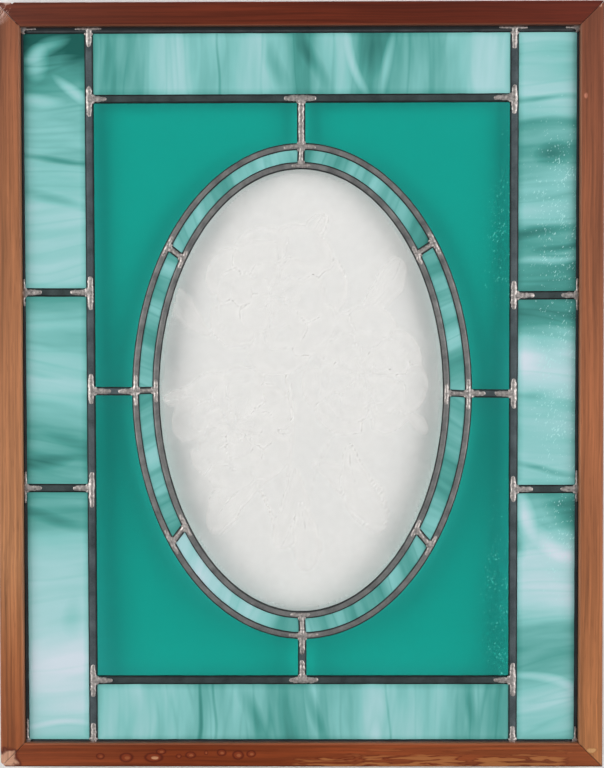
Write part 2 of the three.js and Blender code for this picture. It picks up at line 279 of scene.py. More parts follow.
# %% Wall, floor and world
WALL_GAP = 0.8 * MM
WALL_TILT = math.radians(1.35)
WALL_SIZE = 6.0
FLOOR_DROP = 1.0
FLOOR_SIZE = 60.0


def one_sided(name, colour, glow):
    """A matt surface that is seen from its front only, and that never stands in the way of a lamp."""
    material, tree = new_material(name)
    path = put(tree, "LightPath").outputs
    in_sight = compute(tree, "MAXIMUM", path["Is Camera Ray"], path["Is Transmission Ray"])
    matt = principled(tree, colour, 0.9, Specular_IOR_Level=0.1, Emission_Color=grey(1.0),
                      Emission_Strength=product(tree, in_sight, glow))
    behind = put(tree, "NewGeometry").outputs["Backfacing"]
    let_through = compute(tree, "MAXIMUM", behind, path["Is Shadow Ray"])
    output(tree, switch(tree, let_through, matt, put(tree, "BsdfTransparent")))
    return material


def stage_plane(name, size, location, rotation, colour, glow=0.0):
    """A big square plane of the stage. Its glow is seen, straight or through glass, and lights nothing."""
    bpy.ops.mesh.primitive_plane_add(size=size, location=location, rotation=rotation)
    plane = bpy.context.object
    plane.name = name
    plane.data.materials.append(one_sided(name + "_finish", colour, glow))


floor_level = cad_low.z - FLOOR_DROP
wall_height = cad_high.z + WALL_SIZE / 4
wall_place = (0, back + WALL_GAP - WALL_SIZE / 4 * math.sin(WALL_TILT), wall_height)
stage_plane("wall", WALL_SIZE, wall_place, (math.pi / 2 + WALL_TILT, 0, 0), grey(0.8), 0.07)
stage_plane("floor", FLOOR_SIZE, (0, 0, floor_level), (0, 0, 0), grey(0.16), 0.52)

world = bpy.data.worlds.new("studio")
bpy.context.scene.world = world
world.use_nodes = True
sky = world.node_tree
sky.nodes.clear()
path = put(sky, "LightPath").outputs
seen = put(sky, "Background", {"Color": (0.93, 0.95, 1.0, 1), "Strength": 0.75})
cast = put(sky, "Background", {"Color": (0.85, 0.92, 1.0, 1), "Strength": 0.1})
mirrored = put(sky, "Background", {"Color": (0.9, 0.95, 1.0, 1), "Strength": 0.03})
not_through = compute(sky, "SUBTRACT", 1.0, path["Is Transmission Ray"])
reflected = product(sky, path["Is Glossy Ray"], not_through)
lighting = switch(sky, path["Is Diffuse Ray"], seen, cast)
output(sky, switch(sky, reflected, lighting, mirrored), "OutputWorld")
print("stage ready, floor at", round(floor_level, 3))

# %% Lights
FADE_FROM = 0.2


def soften(tree):
    """Lets a light fade from full in its middle to nothing at its edges."""
    place = put(tree, "NewGeometry").outputs["Parametric"]
    strength = 1.0
    for part in put(tree, "SeparateXYZ", {0: place}).outputs[:2]:
        strength = product(tree, strength, remap(tree, apart(tree, part, 0.5), 0.5, FADE_FROM))
    tree.links.new(strength, tree.nodes["Emission"].inputs["Strength"])


def area_light(name, place, size, power, colour=(1, 1, 1)):
    """A rectangular light that faces the middle of the window."""
    data = bpy.data.lights.new(name, "AREA")
    data.shape = "RECTANGLE"
    data.size, data.size_y = size
    data.energy = power
    data.color = colour
    data.use_nodes = True
    soften(data.node_tree)
    light = bpy.data.objects.new(name, data)
    light.location = place
    light.rotation_euler = (centre - Vector(place)).to_track_quat("-Z", "Y").to_euler()
    light.visible_transmission = False
    bpy.context.scene.collection.objects.link(light)


area_light("light_left", (-1.55, -1.45, centre.z + 0.25), (2.0, 3.0), 75, (1.0, 0.985, 0.96))
area_light("light_right", (1.55, -1.45, centre.z + 0.15), (2.0, 3.0), 75, (1.0, 0.985, 0.97))
area_light("light_behind", (0.6, 1.9, centre.z + 1.5), (3.0, 2.2), 130)
print("three lights")

# %% [markdown]
# ## Came
# The lead strips are H-shaped in section: two faces, one at the front and one at the back, joined by a
# narrow heart that parts the panes. The solid model has them with flat facets. Here each one is made again
# with rounded shoulders, a slightly crowned face and the small dents that soft lead gets.
# They could be swept along curves. A box that is cut, grooved and bevelled in edit mode shows better how
# the section comes about, and one finished bar can be laid along any line and wrapped round an oval too.

# %% Picking faces and edges in code
def to_mode(mode):
    bpy.ops.object.mode_set(mode=mode)


def choose(*pieces):
    """Selects these pieces and nothing else. The first is the active one."""
    bpy.ops.object.select_all(action="DESELECT")
    for piece in pieces:
        piece.select_set(True)
    bpy.context.view_layer.objects.active = pieces[0]


def pick(piece, kind, wanted):
    """Goes into edit mode with just those faces or edges selected that are wanted(middle, direction)."""
    to_mode("EDIT")
    bpy.ops.mesh.select_mode(type=kind)
    bpy.ops.mesh.select_all(action="DESELECT")
    to_mode("OBJECT")
    mesh = piece.data
    if kind == "FACE":
        for face in mesh.polygons:
            face.select = wanted(face.center, face.normal)
    else:
        for edge in mesh.edges:
            start, end = (mesh.vertices[i].co for i in edge.vertices)
            edge.select = wanted((start + end) / 2, (end - start).normalized())
    to_mode("EDIT")


def cut_all(plane_point, plane_normal):
    """Cuts every face of the piece in edit mode along a plane, and takes nothing away."""
    bpy.ops.mesh.select_all(action="SELECT")
    bpy.ops.mesh.bisect(plane_co=plane_point, plane_no=plane_normal)


def add_box(name, size, middle=(0, 0, 0)):
    """A box, with its size and place in its mesh."""
    bpy.ops.mesh.primitive_cube_add(size=1)
    box = bpy.context.object
    box.name = name
    box.data.transform(Matrix.Translation(middle) @ Matrix.Diagonal((*size, 1)))
    return box


def copy_of(piece, name):
    """A copy with its own mesh."""
    double = piece.copy()
    double.data = piece.data.copy()
    double.name = name
    bpy.context.scene.collection.objects.link(double)
    return double


# %% One bar of came
CAME_WIDE = 6.4 * MM
CAME_NARROW = 5.2 * MM
CAME_BORDER = 9.6 * MM
came_back, came_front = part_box("came_border_top")[1].y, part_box("came_border_top")[0].y
CAME_DEPTH = came_back - came_front
CHANNEL = 3.6 * MM
HEART = 1.2 * MM
SHOULDER = 0.85 * MM
CROWN = 0.25 * MM
CREASES = (-0.34, -0.15, 0.15, 0.34)        # shares of the width where a face is parted, so that it can bulge
panel_y = (came_back + came_front) / 2


def came_bar(width):
    """A metre of came, from X = 0 to X = 1, about the axis, with its faces to the front and the back."""
    bar = add_box("came_bar", (1, CAME_DEPTH, width), (0.5, 0, 0))
    to_mode("EDIT")
    for side in (-1, 1):
        cut_all((0, side * CHANNEL / 2, 0), (0, 1, 0))
    for part in CREASES:
        cut_all((0, 0, part * width), (0, 0, 1))
    groove = (width - HEART) / 2
    for side in (-1, 1):
        pick(bar, "FACE", lambda c, n: n.z * side > 0.9 and abs(c.y) < CHANNEL / 2)
        bpy.ops.mesh.extrude_region_move(TRANSFORM_OT_translate={"value": (0, 0, -side * groove)})
    corner_y, corner_z = 0.49 * CAME_DEPTH, 0.49 * width        # just short of the corners
    pick(bar, "EDGE", lambda c, d: abs(d.x) > 0.9 and abs(c.y) > corner_y and abs(c.z) > corner_z)
    bpy.ops.mesh.bevel(offset=SHOULDER, segments=4, profile=0.5, affect="EDGES")
    to_mode("OBJECT")
    for vertex in bar.data.vertices:
        if abs(vertex.co.y) > CHANNEL / 2 + 0.1 * MM:
            fall = CROWN * (2 * vertex.co.z / width) ** 2
            vertex.co.y -= math.copysign(fall, vertex.co.y)
    across = bar.data.attributes.new("across", "FLOAT", "POINT")
    for vertex in bar.data.vertices:
        across.data[vertex.index].value = abs(2 * vertex.co.z / width)
    return bar


def cut_to_rings(bar, cuts):
    """Parts a bar into short lengths, so that it can bend and take dents. Each number splits it again."""
    for count in cuts:
        pick(bar, "EDGE", lambda c, d: abs(d.x) > 0.9)
        bpy.ops.mesh.subdivide(number_cuts=count)
    to_mode("OBJECT")


bars = {width: came_bar(width) for width in (CAME_WIDE, CAME_NARROW, CAME_BORDER)}
print("came bars of", [len(bar.data.polygons) for bar in bars.values()], "faces")

# %% Laying a bar along a straight line
DENT = 0.12 * MM
RING_LENGTH = 7 * MM
END_ZONE = 0.6 * MM        # the corners of a solid that count as its end


def strip_ends(name):
    """The two ends of a straight strip's centre line, as X and Z, read off the solid of that name."""
    flat = np.array([(v.co.x, v.co.z) for v in NODES[name].data.vertices])
    middle = flat.mean(0)
    longest_way = np.linalg.eigh(np.cov((flat - middle).T))[1][:, 1]
    along = (flat - middle) @ longest_way
    near = flat[along < along.min() + END_ZONE].mean(0)
    far = flat[along > along.max() - END_ZONE].mean(0)
    return Vector(near), Vector(far)


def dent(piece, seed, amount=DENT, length=9 * MM):
    """Moves each vertex a little, as soft lead is dented and is never quite straight."""
    for vertex in piece.data.vertices:
        place = vertex.co / length + Vector((seed, 0, 0))
        vertex.co += amount * noise.noise_vector(place)


def lay_straight(bar, name, start, end, lift=0.0):
    """A copy of a bar from one point to another."""
    strip = copy_of(bar, name)
    run = end - start
    choose(strip)
    cut_to_rings(strip, [min(99, max(1, round(run.length / RING_LENGTH)))])
    turn = Matrix.Rotation(-math.atan2(run.y, run.x), 4, "Y")
    stretch = Matrix.Diagonal((run.length, 1, 1, 1))
    strip.data.transform(Matrix.Translation((start.x, panel_y + lift, start.y)) @ turn @ stretch)
    return strip


# %% Wrapping a bar round an oval
OVAL_RINGS = [3, 47]


class Oval:
    """The centre line of an oval strip, read off its solid."""

    def __init__(self, name, width):
        low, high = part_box(name)
        self.middle = Vector(((low.x + high.x) / 2, (low.z + high.z) / 2))
        self.half_width = (high.x - low.x - width) / 2
        self.half_height = (high.z - low.z - width) / 2

    def outwards(self, angle):
        return Vector((self.half_height * math.cos(angle), self.half_width * math.sin(angle))).normalized()

    def point(self, angle, offset=0.0):
        on_line = Vector((self.half_width * math.cos(angle), self.half_height * math.sin(angle)))
        return self.middle + on_line + offset * self.outwards(angle)

    def angle_at(self, point):
        away = point - self.middle
        return math.atan2(away.y / self.half_height, away.x / self.half_width)


def lay_oval(bar, name, oval, lift=0.0):
    """A copy of a bar bent into a ring: X becomes the way round, and the seam is closed."""
    strip = copy_of(bar, name)
    choose(strip)
    pick(strip, "FACE", lambda c, n: abs(n.x) > 0.9)
    bpy.ops.mesh.delete(type="ONLY_FACE")
    to_mode("OBJECT")
    cut_to_rings(strip, OVAL_RINGS)
    for vertex in strip.data.vertices:
        place = oval.point(2 * math.pi * vertex.co.x, -vertex.co.z)
        vertex.co = (place.x, panel_y + lift + vertex.co.y, place.y)
    to_mode("EDIT")
    bpy.ops.mesh.select_all(action="SELECT")
    bpy.ops.mesh.remove_doubles(threshold=0.01 * MM)
    to_mode("OBJECT")
    return strip


ovals = {name: Oval(name, CAME_NARROW) for name in ("came_oval_outer", "came_oval_inner")}
inner_oval = ovals["came_oval_inner"]
print("ovals of", [oval.half_width * 2 for oval in ovals.values()])

# %% All the strips
def came_width(name):
    """The width of the face of a strip."""
    if "border" in name:
        return CAME_BORDER
    return CAME_NARROW if "oval" in name or "radial" in name else CAME_WIDE


def keep(piece, slot, *nodes):
    """Hangs a finished piece on the window. It stands for the solids named, if any."""
    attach(piece, "root")
    if nodes:
        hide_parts(*nodes)


came_names = sorted(name for name in NODES if name.startswith("came_"))
straight_names = [name for name in came_names if "oval" not in name]
ends = {name: strip_ends(name) for name in straight_names}
came = {}
for name in straight_names:
    came[name] = lay_straight(bars[came_width(name)], "lead_" + name[5:], *ends[name])
for name, oval in ovals.items():
    came[name] = lay_oval(bars[CAME_NARROW], "lead_" + name[5:], oval)
for seed, (name, strip) in enumerate(sorted(came.items())):
    dent(strip, seed)
    strip.data.shade_smooth()
    keep(strip, "lead", name)
print(len(came), "strips of came")

# %% [markdown]
# ## Cement
# Glaziers push dark cement under the edges of the lead, to stop the panes from rattling. What is left of it
# draws a thin dark line beside every strip and rounds the corners of the panes. It is a thin bar with
# sloped sides under each face of the came, laid along the same lines as the lead. It could be a dark rim in
# the material of the glass, but as a piece it keeps its width and catches the light on its slope.

# %% Cement under the edges
GLASS_HALF = 1.5 * MM
CEMENT_BEYOND = 0.35 * MM
CEMENT_THICK = 0.7 * MM
CEMENT_LIFT = GLASS_HALF + CEMENT_THICK / 2 - 0.05 * MM
CEMENT_SEED = 50        # past the seeds of the lead, so that its dents are its own


def cement_bar(width):
    """A metre of cement with sloped sides, a little wider than the came above it."""
    beyond = 0.1 * MM if width == CAME_BORDER else CEMENT_BEYOND
    bar = add_box("cement_bar", (1, CEMENT_THICK, width + 2 * beyond), (0.5, 0, 0))
    pick(bar, "EDGE", lambda c, d: abs(d.x) > 0.9)
    bpy.ops.mesh.bevel(offset=0.3 * MM, segments=2, affect="EDGES")
    to_mode("OBJECT")
    return bar


def join(pieces, name):
    """One object out of many."""
    choose(*pieces)
    bpy.ops.object.join()
    pieces[0].name = name
    return pieces[0]


cement_bars = {width: cement_bar(width) for width in bars}
cement = {}
for side, way in (("front", -1), ("back", 1)):
    lines = []
    for seed, name in enumerate(came_names):
        bar = cement_bars[came_width(name)]
        if name in ends:
            line = lay_straight(bar, "cement_line", *ends[name], lift=way * CEMENT_LIFT)
        else:
            line = lay_oval(bar, "cement_line", ovals[name], lift=way * CEMENT_LIFT)
        dent(line, CEMENT_SEED + seed, 0.16 * MM, 6 * MM)
        lines.append(line)
    cement[side] = join(lines, "cement_" + side)
    keep(cement[side], "lead")
for bar in (*bars.values(), *cement_bars.values()):
    bpy.data.objects.remove(bar)
print("cement of", [len(piece.data.polygons) for piece in cement.values()], "faces")

# %% [markdown]
# ## Solder
# Wherever one strip ends against another, a bead of solder runs over the joint and a little way along each
# strip. A bead is a row of flattened balls that get smaller to its tips. The rows are fused by remeshing,
# roughened, and cut flat where they sit inside the lead. Metaballs would fuse as well, but a remesh keeps
# the size of its faces the same all over, so the roughness comes out even. The flat cut is the part that a
# big box shares with them: a plain cut in edit mode would also close the panes between the beads.

# %% Where strips meet
def half_width(name):
    return came_width(name) / 2


def met_strip(name, point):
    """The strip that another one ends against: its name, and its direction at that point."""
    best = None
    for other in came_names:
        if other == name:
            continue
        if other in ends:
            start, end = ends[other]
            run = end - start
            share = min(1, max(0, (point - start).dot(run) / run.length_squared))
            nearest = start + run * share
            way = run.normalized()
        else:
            angle = ovals[other].angle_at(point)
            nearest = ovals[other].point(angle)
            outwards = ovals[other].outwards(angle)
            way = Vector((-outwards.y, outwards.x))
        gap = (nearest - point).length - half_width(other)
        if best is None or gap < best[0]:
            best = (gap, other, nearest, way)
    return best


JOINT_GAP = 2 * MM        # two strips that are nearer than this are soldered
joints = []
for name in straight_names:
    for end, start in (ends[name], ends[name][::-1]):
        gap, other, nearest, way = met_strip(name, end)
        if gap < JOINT_GAP:
            joints.append((name, other, end, nearest, (start - end).normalized(), way))

# %% Rows of balls
BALL_STEP = 1.5 * MM
BEAD_HEIGHT = 0.75 * MM
FILLET = 0.9 * MM
CORNER = 0.2 * MM
START_IN = 2 * MM        # how far before the end of its strip a bead starts
STEM, STEM_AT_RING, STEM_AT_TOP = (9, 12), (5, 7), 19        # millimetres along the strip that ends here
ARM, ARM_AT_RING = (11, 13.5), (7, 10)        # and to each side along the strip that it meets
BORDER_RADIUS = 1.35 * MM
FACE_OUT = CAME_DEPTH / 2
SINK = 0.4 * MM        # how deep the middle of a ball lies in the lead
pick_size = random.Random(7)

bpy.ops.mesh.primitive_uv_sphere_add(segments=14, ring_count=8, radius=1)
ball = bpy.context.object


def row(path, length, radius, side):
    """Balls along a path, getting smaller to its end. The path gives a point for each distance."""
    balls = []
    count = max(2, round(length / BALL_STEP))
    for step in range(count + 1):
        share = step / count
        size = radius * (1 - 0.22 * share ** 4) * pick_size.uniform(0.9, 1.08)
        rise = BEAD_HEIGHT * (1 - 0.45 * share ** 2) * pick_size.uniform(0.8, 1.15)
        place = path(length * share)
        across = pick_size.uniform(-0.2, 0.2) * MM
        lump = copy_of(ball, "lump")
        shape = Matrix.Diagonal((size, rise + SINK, size, 1))
        height = panel_y + side * (FACE_OUT - SINK)
        lump.data.transform(Matrix.Translation((place.x + across, height, place.y + across)) @ shape)
        balls.append(lump)
    return balls


def line_path(start, way):
    return lambda distance: start + way * distance


def oval_path(oval, start, turn):
    """A path round an oval, from the point of it nearest to the start."""
    angle = oval.angle_at(start)
    speed = math.hypot(oval.half_width * math.sin(angle), oval.half_height * math.cos(angle))
    return lambda distance: oval.point(angle + turn * distance / speed)


def visible(point):
    """The nearest place that the frame's lip leaves free, for beads on the border strips."""
    aside, up = SIGHT_SIDE - 1.3 * MM, SIGHT_UP - 1.2 * MM
    return Vector((max(-aside, min(aside, point.x)), max(centre.z - up, min(centre.z + up, point.y))))


def bead(joint, side):
    """The bead over one joint, on the front or the back."""
    name, other, end, nearest, inward, way = joint
    at_ring = "radial" in name
    stem = pick_size.uniform(*(STEM_AT_RING if at_ring else STEM)) * MM
    arm = pick_size.uniform(*(ARM_AT_RING if at_ring else ARM)) * MM
    if name == "came_spoke_top":
        stem = STEM_AT_TOP * MM
    if "border" in name:
        stem, arm = 0.1 * MM, 5 * MM
    if other == "came_border_bottom":
        arm = 1.5 * MM
    stem_radius = half_width(name) * (0.76 if at_ring else 0.84)
    rows = [row(line_path(end - inward * START_IN, inward), stem + START_IN, stem_radius, side)]
    for turn in (-1, 1):
        length = arm * pick_size.uniform(0.75, 1.15)
        if other in ends:
            straight = line_path(nearest, way * turn)
            if "border" in other:
                path = lambda distance, straight=straight: visible(straight(distance))
                radius = BORDER_RADIUS
            else:
                path, radius = straight, half_width(other) * 0.86
        else:
            path = oval_path(ovals[other], nearest, turn)
            radius = half_width(other) * 0.78
        rows.append(row(path, length, radius, side))
        corner = nearest + inward * (half_width(other) + CORNER) + way * turn * (half_width(name) - CORNER)
        rows.append(row(line_path(corner, inward), 0.6 * MM, FILLET, side))
    return sum(rows, [])


# %% Fusing the balls
VOXEL = 0.45 * MM
KEPT = 5 * MM
ROOT = 0.5 * MM        # how deep the flat cut lies in the lead
ROUGH_SIZE = 3.4 * MM


def modify(piece, kind, **settings):
    """Adds a modifier and applies it at once."""
    choose(piece)
    modifier = piece.modifiers.new(kind.lower(), kind)
    for name, value in settings.items():
        setattr(modifier, name, value)
    bpy.ops.object.modifier_apply(modifier=modifier.name)


def fuse(balls, name, side):
    """One rough piece out of many balls, cut flat inside the lead."""
    lumps = join(balls, name)
    modify(lumps, "REMESH", mode="VOXEL", voxel_size=VOXEL)
    modify(lumps, "SMOOTH", factor=0.5, iterations=3)
    for vertex in lumps.data.vertices:
        place = vertex.co / ROUGH_SIZE
        vertex.co += 0.2 * MM * noise.noise_vector(place) + 0.05 * MM * noise.noise_vector(3 * place)
    middle = panel_y + side * (FACE_OUT + KEPT / 2 - ROOT)
    kept = add_box("kept_space", (1, KEPT, 1), (0, middle, centre.z))
    modify(lumps, "BOOLEAN", operation="INTERSECT", object=kept, solver="EXACT")
    bpy.data.objects.remove(kept)
    modify(lumps, "TRIANGULATE", min_vertices=5)
    lumps.data.shade_smooth()
    return lumps


def spot(x, z):
    """A point given in millimetres from the middle of the window."""
    return Vector((x * MM, centre.z + z * MM))


BORDER_BITS = [
    (spot(-231.4, 298.6), spot(-221, 298.8)), (spot(222.5, 298.7), spot(231, 298.6)),
    (spot(-231.3, -297), spot(-231.2, -281)), (spot(230.9, -298), spot(231.0, -288)),
]

solder = {}
for side, way in (("front", -1), ("back", 1)):
    balls = sum((bead(joint, way) for joint in joints), [])
    for start, end in BORDER_BITS:
        balls += row(line_path(start, (end - start).normalized()), (end - start).length, 1.1 * MM, way)
    solder[side] = fuse(balls, "solder_" + side, way)
    keep(solder[side], "solder")
bpy.data.objects.remove(ball)
print("solder of", [len(piece.data.polygons) for piece in solder.values()], "faces")

# %% [markdown]
# ## Metal finishes
# Old lead goes dark and dull, and solder stays paler and brighter. Both are the same small group of nodes,
# with other values: a patchy tone, a roughness that follows it and fine scratches for the bump. The group
# hands out colours and masks only, and each material keeps its own shader. On the lead the shoulders of each
# face are darker: partly dark patina along the lead's edges, partly painted shade on their rounded slope. The
# border strips also get a painted shade of the frame's lip, which lights at the two sides leave too faint
# under the top rail.

# %% Group: patchy metal
patchy, given, gives = new_group(
    "patchy_metal", ["Vector"], ["Patch Size", "Lightness"], ["Color", "Mask", "Height"], ["Dark", "Light"])
patch_scale = compute(patchy, "DIVIDE", 1.0, given["Patch Size"])
broad = texture(patchy, given["Vector"], patch_scale, 3.0)[0]
fine = texture(patchy, given["Vector"], 900.0, 4.0, Roughness=0.7)[0]
mixed = compute(patchy, "MULTIPLY_ADD", fine, 0.45, broad)
level = compute(patchy, "ADD", mixed, given["Lightness"])
mask = remap(patchy, level, 0.45, 1.05)
patchy.links.new(blend_colours(patchy, mask, given["Dark"], given["Light"]), gives["Color"])
patchy.links.new(mask, gives["Mask"])
patchy.links.new(fine, gives["Height"])


# %% Lead, cement and solder
def under_lip(tree, axes):
    """The shade of the frame's lip: a broad one under the top rail, narrow ones along the stiles."""
    below_top = compute(tree, "SUBTRACT", centre.z + SIGHT_UP, axes[2])
    beside = compute(tree, "SUBTRACT", SIGHT_SIDE, compute(tree, "ABSOLUTE", axes[0]))
    top_shade = remap(tree, below_top, 3.4 * MM, 2.2 * MM)
    return compute(tree, "MAXIMUM", top_shade, remap(tree, beside, 1.4 * MM, 0.6 * MM))


def metal(name, dark, light, metallic, rough, shiny, patch, lightness, relief, border=False):
    """A patchy metal, from rough to shiny where it is lighter."""
    material, tree = new_material(name)
    place, axes = object_place(tree)
    patches = use_group(tree, patchy, {
        "Vector": place, "Dark": screen(*dark), "Light": screen(*light), "Patch Size": patch * MM,
        "Lightness": lightness,
    })
    roughness = remap(tree, patches["Mask"], 0.0, 1.0, rough, shiny)
    across = put(tree, "Attribute", attribute_name="across").outputs["Fac"]
    # The rim mask darkens the shoulders of each face: partly dark patina along the lead's edges, partly
    # painted shade on the rounded slope. On the border strips the painted shade of the frame's lip joins it.
    rim = remap(tree, across, 0.66, 0.84)
    if border:
        rim = compute(tree, "MAXIMUM", rim, under_lip(tree, axes))
    colour = paint(tree, patches["Color"], rim, 0.85, 24, 28, 32)
    normal = bump(tree, patches["Height"], relief, 0.1 * MM)
    output(tree, principled(tree, colour, roughness, Metallic=metallic, Normal=normal))
    return material


lead_dark = metal("lead_dark", (50, 61, 65), (101, 112, 117), 0.55, 0.6, 0.45, 14, 0.0, 0.4)
# Level and short strips, and the border strips, get darker copies of the lead. This is painted shade: for the
# darker room that the level ones mirror, and for the frame's lip over the border.
lead_level_shaded = metal("lead_level_shaded", (36, 47, 49), (76, 89, 90), 0.55, 0.6, 0.5, 14, 0.0, 0.4)
lead_border = metal("lead_border", (44, 52, 56), (92, 98, 100), 0.55, 0.6, 0.5, 14, 0.0, 0.4, border=True)
lead_light = metal("lead_light", (84, 86, 88), (146, 146, 145), 0.5, 0.55, 0.42, 9, 0.05, 0.4)
cement_dark = metal("cement_dark", (20, 24, 26), (46, 50, 50), 0.0, 0.9, 0.75, 4, 0.0, 0.8)
solder_bright = metal("solder_bright", (92, 89, 89), (218, 210, 206), 0.6, 0.5, 0.3, 2.2, 0.06, 0.6)
for name, strip in came.items():
    level = "horizontal" in name or "short" in name
    lead = lead_light if came_width(name) == CAME_NARROW else lead_level_shaded if level else lead_dark
    if "border" in name:
        lead = lead_border
    strip.data.materials.append(lead)
for piece in cement.values():
    piece.data.materials.append(cement_dark)
for piece in solder.values():
    piece.data.materials.append(solder_bright)
print("metal finishes on", len(came) + 4, "pieces")

# %% [markdown]
# ## Opal glass
# The outer panes and the ring are streaky opal glass, rolled from a white and a teal melt that never quite
# mixed. One group of nodes makes the streaks: noise that is stretched along the way the sheet was rolled,
# and bent by a second, broader noise. Each pane then has its own direction, its own seed and a slow change
# of tone along its length, just as each was cut from another place in the sheet. Where one melt gathered, a
# wisp of the other is laid over the streaks: a soft, bent spindle that is paler or darker. One image
# of real glass would be quicker, but it would repeat, and every pane would need its own cut-out.

# %% Group: streaks in rolled glass
streaks, given, gives = new_group(
    "rolled_streaks", ["Vector", "Middle"], ["Turn", "Seed", "Swirl"], ["Streak", "Line", "Height"])
moved = vector(streaks, "SUBTRACT", given["Vector"], given["Middle"])
bent = bent_by(streaks, moved, moved, 9.0, 1.0, given["Swirl"], given["Seed"])
turned = turned_by(streaks, bent, given["Turn"])
wide = stretched(streaks, turned, (7.0, 1.0, 42.0), 3.5, given["Seed"])
thin = stretched(streaks, turned, (6.0, 1.0, 64.0), 1.0, given["Seed"])
streaks.links.new(remap(streaks, wide, 0.28, 0.72), gives["Streak"])
streaks.links.new(remap(streaks, apart(streaks, thin, 0.5), 0.05, 0.0), gives["Line"])
streaks.links.new(texture(streaks, moved, 160.0, 2.0)[0], gives["Height"])

# %% Group: a wisp
wisp, given, gives = new_group("wisp", ["Vector", "Middle", "Reach"], ["Turn"], ["Mask"])
offset = vector(wisp, "SUBTRACT", given["Vector"], given["Middle"])
bent = bent_by(wisp, offset, given["Vector"], 17.0, 0.0, 18 * MM)
distance = share_of_reach(wisp, turned_by(wisp, bent, given["Turn"]), given["Reach"])
soft = compute(wisp, "SMOOTH_MIN", remap(wisp, distance, 1.0, 0.0), 0.8, 0.4)
wisp.links.new(compute(wisp, "MAXIMUM", soft, 0.0), gives["Mask"])

# %% Group: painted glints, specks of colour where the glass would catch the light
painted_glints, given, gives = new_group("painted_glint_specks", ["Vector", "Middle", "Reach"], ["Amount"], ["Mask"])
leaning = turned_by(painted_glints, given["Vector"], -0.5)
grains = texture(painted_glints, vector(painted_glints, "MULTIPLY", leaning, (1.0, 1.0, 0.5)), 880.0, 1.0)[0]
patches = texture(painted_glints, given["Vector"], 70.0, 2.0)[0]
offset = vector(painted_glints, "SUBTRACT", given["Vector"], given["Middle"])
near = remap(painted_glints, share_of_reach(painted_glints, offset, given["Reach"]), 1.0, 0.35)
chance = product(painted_glints, near, remap(painted_glints, patches, 0.25, 0.7, 0.3, 1.0))
bar_height = compute(painted_glints, "MULTIPLY_ADD", product(painted_glints, chance, given["Amount"]), -0.215, 0.8)
above = compute(painted_glints, "SUBTRACT", grains, bar_height)
painted_glints.links.new(remap(painted_glints, above, 0.0, 0.07), gives["Mask"])

# %% The opal panes
OPAL_TONES = [
    (0, 34, 96, 90), (0.25, 84, 162, 155), (0.5, 136, 203, 201), (0.75, 174, 218, 222), (1, 214, 228, 239),
]


def reach(across, up, deep=1000):
    """A reach given in millimetres. It is as good as endless in depth, unless that is given too."""
    return (across * MM, deep * MM, up * MM)


def opal(name, turn, tones, seed, swirl=30 * MM, contrast=0.4, painted_glint=None, wisps=()):
    """Streaky glass. The tones run from the pane's top to its foot, or from its left to its right.

    A wisp has its share of the way across and down the pane, its slant, half its length, half its width and
    how much paler it is.
    """
    material, tree = new_material(name + "_finish")
    low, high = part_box(name)
    middle = (low + high) / 2
    place, axes = object_place(tree)
    inputs = {"Vector": place, "Middle": middle, "Turn": math.radians(turn), "Seed": seed, "Swirl": swirl}
    made = use_group(tree, streaks, inputs)
    if high.z - low.z > high.x - low.x:
        along = remap(tree, axes[2], high.z, low.z)
    else:
        along = remap(tree, axes[0], low.x, high.x)
    slow = colour_ramp(tree, along, tones)
    shift = product(tree, compute(tree, "SUBTRACT", made["Streak"], 0.5), contrast)
    darker = product(tree, product(tree, made["Line"], made["Streak"]), -0.3 * contrast)
    tone = compute(tree, "ADD", compute(tree, "ADD", slow, shift), darker)
    for across, down, slant, length, width, paler in wisps:
        wisp_middle = (low.x + across * (high.x - low.x), middle.y, high.z - down * (high.z - low.z))
        here = around(tree, wisp, place, wisp_middle, reach(length, width), Turn=math.radians(slant))
        tone = compute(tree, "MULTIPLY_ADD", here["Mask"], paler, tone)
    if "ring" not in name:
        tone = product(tree, tone, edge_shade(tree, axes, low, high))
    colour = colour_ramp(tree, tone, OPAL_TONES)
    if painted_glint:
        speck_middle, speck_reach, amount = painted_glint
        painted_glint_dots = around(tree, painted_glints, place, speck_middle, speck_reach, Amount=amount)["Mask"]
        # Painted glints: bright specks where the rolled surface would catch the lamp at the right.
        colour = paint(tree, colour, painted_glint_dots, 0.6, 190, 238, 238)
    output(tree, principled(tree, colour, 0.14, Normal=bump(tree, made["Height"], 0.25, 0.3 * MM)))
    finish(name, material)


def edge_shade(tree, axes, low, high):
    """A soft fall towards a pane's edges, where its lead keeps the light from shining through it."""
    gaps = [
        compute(tree, "SUBTRACT", axes[0], low.x), compute(tree, "SUBTRACT", high.x, axes[0]),
        compute(tree, "SUBTRACT", axes[2], low.z), compute(tree, "SUBTRACT", high.z, axes[2]),
    ]
    nearest = compute(tree, "MINIMUM", *gaps[:2])
    for gap in gaps[2:]:
        nearest = compute(tree, "MINIMUM", nearest, gap)
    return remap(tree, nearest, 2.4 * MM, 8 * MM, 0.72, 1.0)


def finish(name, material):
    """Gives a solid its one material."""
    NODES[name].data.materials.clear()
    NODES[name].data.materials.append(material)


